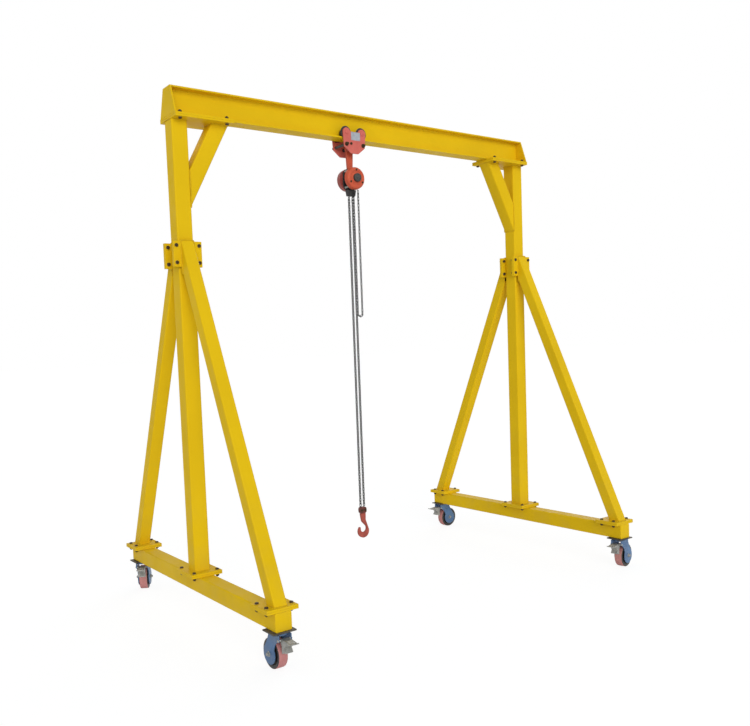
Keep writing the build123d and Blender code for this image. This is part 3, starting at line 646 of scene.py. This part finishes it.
# Hoist eye and frame. A forged eye in orange paint hangs on the trolley's bar and holds a crosshead
# between two dark side plates, with the grooved load sheave and four stay bolts between them.
HOIST_ORANGE = (0.62, 0.105, 0.044)
HOIST_LEVEL, FRAME_FRONT, FRAME_BACK = 2.7923, -0.042, 0.016
FRAME_MIDDLE = (FRAME_FRONT + FRAME_BACK) / 2
FRAME_WIDTH, FRAME_HEIGHT, FRAME_CORNER = 0.100, 0.140, 0.036
SIDE_SHEET, SIDE_EDGE, EYE_EDGE = 0.008, 0.0012, 0.004
CROSSHEAD_RISE, CROSSHEAD_SIZE, CROSSHEAD_EDGE = 0.058, (0.058, 0.044, 0.022), 0.003
STAY_X, STAY_RISE = 0.036, 0.052
SHEAVE_HALF = ((0.006, 0.021), (0.030, 0.021), (0.046, 0.015), (0.047, 0.012), (0.038, 0.003))
STAY_SECTION = ((0.0, -0.025), (0.0055, -0.025), (0.0055, -0.020), (0.0075, -0.019), (0.0075, 0.019),
                (0.0055, 0.020), (0.0055, 0.025), (0.0, 0.025))
hoist_paint = steel_finish("hoist_orange_paint", HOIST_ORANGE, (0.54, 0.085, 0.038), (0.34, 0.5), mottle=14.0,
                           edge=(0.28, 0.07, 0.04))
dress("hoist_eye", hoist_paint, EYE_EDGE, steps=3)
begin(bpy.ops.mesh.primitive_cube_add, size=1, scale=(FRAME_WIDTH, SIDE_SHEET, FRAME_HEIGHT),
      location=(TROLLEY_X, FRAME_FRONT + SIDE_SHEET / 2, HOIST_LEVEL))
bpy.ops.mesh.select_mode(type="EDGE")
shape = bmesh.from_edit_mesh(bpy.context.object.data)
for edge in shape.edges:
    edge.select_set(abs(edge.verts[0].co.y - edge.verts[1].co.y) > SIDE_SHEET / 2)
bmesh.update_edit_mesh(bpy.context.object.data)
bpy.ops.mesh.bevel(offset=FRAME_CORNER, segments=8)
side_sheet = settle("hoist_side_pattern", smooth=40)
sheets = set_out(side_sheet, "hoist_sides", [at(0, 0, 0), at(0, FRAME_BACK - FRAME_FRONT - SIDE_SHEET, 0)])
put_away(side_sheet)
fit(sheets, "trolley", iron_black, "black_iron", "hoist_frame")
soft = sheets.modifiers.new("soft_edges", "BEVEL")
soft.width, soft.segments, soft.limit_method, soft.angle_limit = SIDE_EDGE, 2, "ANGLE", math.radians(60)
bpy.ops.object.modifier_apply(modifier=soft.name)
begin(bpy.ops.mesh.primitive_cube_add, size=1, scale=CROSSHEAD_SIZE,
      location=(TROLLEY_X, FRAME_MIDDLE, HOIST_LEVEL + CROSSHEAD_RISE))
bpy.ops.mesh.bevel(offset=CROSSHEAD_EDGE, segments=2)
fit(settle("hoist_crosshead"), "trolley", iron_black, "black_iron")
sheave = lathe(both_halves(SHEAVE_HALF), steps=32, name="load_sheave")
sheave.data.transform(at(TROLLEY_X, FRAME_MIDDLE, HOIST_LEVEL) @ facing(1))
fit(sheave, "trolley", plate_dark, "dark_plate")
stay = lathe(STAY_SECTION, steps=14, name="stay_pattern")
stays = [at(TROLLEY_X + side * STAY_X, FRAME_MIDDLE, HOIST_LEVEL + step * STAY_RISE) @ facing(1)
         for side in (-1, 1) for step in (-1, 1)]
fit(set_out(stay, "hoist_stays", stays), "trolley", zinc_plate, "zinc")
put_away(stay)

# Hoist covers. Round pressed covers in orange paint with a rolled rim and a pressed ring, screwed to
# the side plates: the hand wheel turns in the front one, the gears in the deeper back one, whose
# darker orange is painted shade.
# Painted shade: the gear cover's orange, darkened as it would look in shade.
GEAR_COVER_SHADED_ORANGE = (0.36, 0.075, 0.060)
COVER_DEPTH, COVER_RIM, GEAR_DEEPER = 0.035, 0.0061, 0.010
COVER_SECTION = ((0.0, 0.0), (0.0750, 0.0), (0.0750, 0.0032), (0.0738, 0.0046), (0.0728, 0.0060),
                 (0.0728, 0.0200), (0.0716, 0.0252), (0.0684, 0.0298), (0.0640, 0.0330), (0.0590, 0.0348),
                 (0.0490, 0.0350), (0.0470, 0.0342), (0.0455, 0.0322), (0.0345, 0.0322), (0.0330, 0.0340),
                 (0.0310, 0.0348), (0.0, COVER_DEPTH))
SCREW_RING, FRONT_SCREWS, BACK_SCREWS = 0.0545, (90, 210, 330), (30, 90, 150, 210, 270, 330)
SCREW_THREAD, SCREW_WASHER = (12, 0.003, 0.004), (-0.0005, 0.0015, 0.0068, 16)
SCREW_HEAD = (0.0010, 0.0042, 0.010)
front_face, back_face = FRAME_FRONT - COVER_DEPTH, FRAME_BACK + COVER_DEPTH + GEAR_DEEPER
front_cover = lathe(COVER_SECTION, steps=56, smooth=30, name="hand_wheel_cover_shell")
front_cover.data.transform(at(TROLLEY_X, FRAME_FRONT, HOIST_LEVEL) @ facing(-1))
fit(front_cover, "trolley", hoist_paint, "orange_paint", "hand_wheel_cover")
# The back cover takes a darker copy of the orange paint, as painted shade.
shaded_gear_paint = steel_finish("gear_cover_painted_shade", GEAR_COVER_SHADED_ORANGE, (0.30, 0.06, 0.05), (0.36, 0.52), mottle=14.0,
                          edge=(0.20, 0.06, 0.05))
rim_growth = 1 + GEAR_DEEPER / COVER_DEPTH
gear_section = [(radius, along * rim_growth if along < COVER_RIM else along + GEAR_DEEPER)
                for radius, along in COVER_SECTION]
back_cover = lathe(gear_section, steps=56, smooth=30, name="gear_cover_shell")
back_cover.data.transform(at(TROLLEY_X, FRAME_BACK, HOIST_LEVEL) @ facing(1))
fit(back_cover, "trolley", shaded_gear_paint, "orange_paint", "gear_cover")
screw = nut_on_washer("cover_screw_pattern", SCREW_THREAD, SCREW_WASHER, SCREW_HEAD)
screws = []
for turns, face, way in ((FRONT_SCREWS, front_face, -1), (BACK_SCREWS, back_face, 1)):
    for turn in turns:
        x, z = SCREW_RING * math.cos(math.radians(turn)), SCREW_RING * math.sin(math.radians(turn))
        screws.append(at(TROLLEY_X + x, face, HOIST_LEVEL + z) @ facing(way))
fit(set_out(screw, "cover_screws", screws), "trolley", bolt_black, "dark_plate")
put_away(screw)

# Hub cap and chain guide. A dark turned cap over the end of the drive shaft with its locking nut,
# and a cast guide below that leads both chains.
HUB_SECTION = ((0.0, 0.0), (0.0280, 0.0), (0.0280, 0.0150), (0.0268, 0.0178), (0.0242, 0.0192),
               (0.0185, 0.0196), (0.0172, 0.0180), (0.0, 0.0180))
LOCK_NUT, SHAFT_END = (0.0175, 0.0036, 0.020), (0.0200, 0.0020, 0.0062, 14)
GUIDE_EDGE = 0.003
hub = lathe(HUB_SECTION, steps=36, name="hub_cap_shell")
bpy.ops.object.mode_set(mode="EDIT")
hexagon(*LOCK_NUT)
disc(*SHAFT_END)
hub = settle("hub_cap_shell")
hub.data.transform(at(TROLLEY_X, front_face, HOIST_LEVEL) @ facing(-1))
fit(hub, "trolley", plate_dark, "dark_plate", "hub_cap")
dress("chain_guide", iron_black, GUIDE_EDGE, steps=3)

# Load chain. Two falls of welded links in dark plated round bar, each link turned a quarter in the
# next, between the hoist and the bottom block.
FALL = 0.015
LOAD_BAR, LOAD_PITCH, LOAD_LINKS = 0.006, 0.018, 118
LINK_SLOT, LINK_PLAY = 1.3, 0.0004
LOAD_TOP, LOAD_LOW = 2.6748, 0.5443


def round_link(bar, pitch):
    """One chain link of round bar, upright, its two ends moved apart from a ring."""
    half_width = bar * (1 + LINK_SLOT) / 2
    begin(bpy.ops.mesh.primitive_torus_add, major_segments=12, minor_segments=5, major_radius=half_width,
          minor_radius=bar / 2, rotation=(math.radians(90), math.radians(15), 0))
    stretch = (pitch + LINK_PLAY + bar) / 2 - half_width
    for way in (-1, 1):
        choose("VERT", lambda point: point.z * way > 0)
        bpy.ops.transform.translate(value=(0, 0, way * stretch))
    return settle("chain_link_pattern", smooth=80)


chain_steel = steel_finish("plated_chain", (0.042, 0.042, 0.041), (0.026, 0.026, 0.025), (0.35, 0.55),
                           metal=0.2, gloss=0.2, mottle=50.0, grain=700.0, depth=0.0001)
link = round_link(LOAD_BAR, LOAD_PITCH)
quarter = Matrix.Rotation(math.radians(90), 4, "Z")
places = []
for side in (-1, 1):
    for index in range(LOAD_LINKS):
        middle = at(TROLLEY_X + side * FALL, 0, LOAD_TOP - (index + 0.5) * LOAD_PITCH)
        places.append(middle @ quarter if index % 2 == 0 else middle)
load_chain = set_out(link, "load_chain_links", places)
put_away(link)
fit(load_chain, None, chain_steel, "chain_steel", "load_chain")
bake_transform(load_chain)

# Hand chain. One endless loop of lighter, oiled dark links that hangs from the hand wheel in the
# front cover and closes with two slanted links at the bottom.
HAND_BAR, HAND_PITCH, HAND_LINKS = 0.005, 0.022, 38
HAND_Y, HAND_TOP = -0.0595, 2.7126
hand_half = HAND_PITCH * math.cos(math.radians(30))
hand_low = HAND_TOP - HAND_LINKS * HAND_PITCH
chain_dark = steel_finish("oiled_chain", (0.020, 0.020, 0.021), (0.012, 0.012, 0.012), (0.40, 0.6), gloss=0.2,
                          mottle=50.0, grain=700.0, depth=0.0001)
down = [Vector((TROLLEY_X - hand_half, HAND_Y, HAND_TOP - index * HAND_PITCH))
        for index in range(HAND_LINKS + 1)]
up = [point + Vector((2 * hand_half, 0, 0)) for point in reversed(down)]
hinges = down + [Vector((TROLLEY_X, HAND_Y, hand_low - HAND_PITCH / 2))] + up
link = round_link(HAND_BAR, HAND_PITCH)
places = []
for index, (start, end) in enumerate(zip(hinges[:-1], hinges[1:])):
    run = end - start
    lean = Matrix.Rotation(math.atan2(run.x, run.z), 4, "Y")
    middle = Matrix.Translation((start + end) / 2) @ lean
    places.append(middle @ quarter if index % 2 == 0 else middle)
hand_chain = set_out(link, "hand_chain_links", places)
put_away(link)
fit(hand_chain, "trolley", chain_dark, "dark_chain", "hand_chain")

# Bottom block. Two cast halves in dark red-brown paint, bolted together round the ends of the chain
# with two blackened bolts.
BLOCK_LEVEL, BLOCK_FACE, BLOCK_BOLT_X, BLOCK_EDGE = 0.5223, 0.015, 0.015, 0.004
BLOCK_THREAD, BLOCK_WASHER = (12, 0.004, 0.004), (-0.0005, 0.0018, 0.0088, 16)
BLOCK_NUT = (0.0013, 0.0055, 0.013)
block_paint = steel_finish("block_brown_paint", (0.190, 0.048, 0.038), (0.100, 0.030, 0.025), (0.42, 0.6),
                           mottle=40.0, edge=(0.22, 0.08, 0.06))
dress("hook_block", block_paint, BLOCK_EDGE, steps=3)
block_nut = nut_on_washer("block_nut_pattern", BLOCK_THREAD, BLOCK_WASHER, BLOCK_NUT)
places = [at(TROLLEY_X + side * BLOCK_BOLT_X, way * BLOCK_FACE, BLOCK_LEVEL) @ facing(way)
          for side in (-1, 1) for way in (-1, 1)]
fit(set_out(block_nut, "block_nuts", places), "bottom_block", bolt_black, "dark_plate")
put_away(block_nut)

# Hook. Drop-forged steel in red paint, round in section where the forging dies met, that turns
# under the block.
HOOK_RED = (0.43, 0.088, 0.064)
SKIN_GRID, FORGE_FACTOR, FORGE_PASSES = 0.0022, 0.5, 14
hook_paint = steel_finish("hook_red_paint", HOOK_RED, (0.34, 0.07, 0.05), (0.38, 0.55), mottle=25.0,
                          grain=320.0, depth=0.0004, edge=(0.22, 0.07, 0.05))
hook = set_out(cad["load_hook"], "forged_hook", [at(0, 0, 0)])
bpy.ops.object.mode_set(mode="EDIT")
bpy.ops.mesh.select_all(action="SELECT")
bpy.ops.mesh.remove_doubles(threshold=SAME_POINT)
bpy.ops.object.mode_set(mode="OBJECT")
skin = hook.modifiers.new("even_skin", "REMESH")
skin.mode, skin.voxel_size = "VOXEL", SKIN_GRID
bpy.ops.object.modifier_apply(modifier=skin.name)
forged = hook.modifiers.new("forged_round", "SMOOTH")
forged.factor, forged.iterations = FORGE_FACTOR, FORGE_PASSES
bpy.ops.object.modifier_apply(modifier=forged.name)
bpy.ops.object.shade_smooth()
fit(hook, "hook", hook_paint, "red_paint", "load_hook")
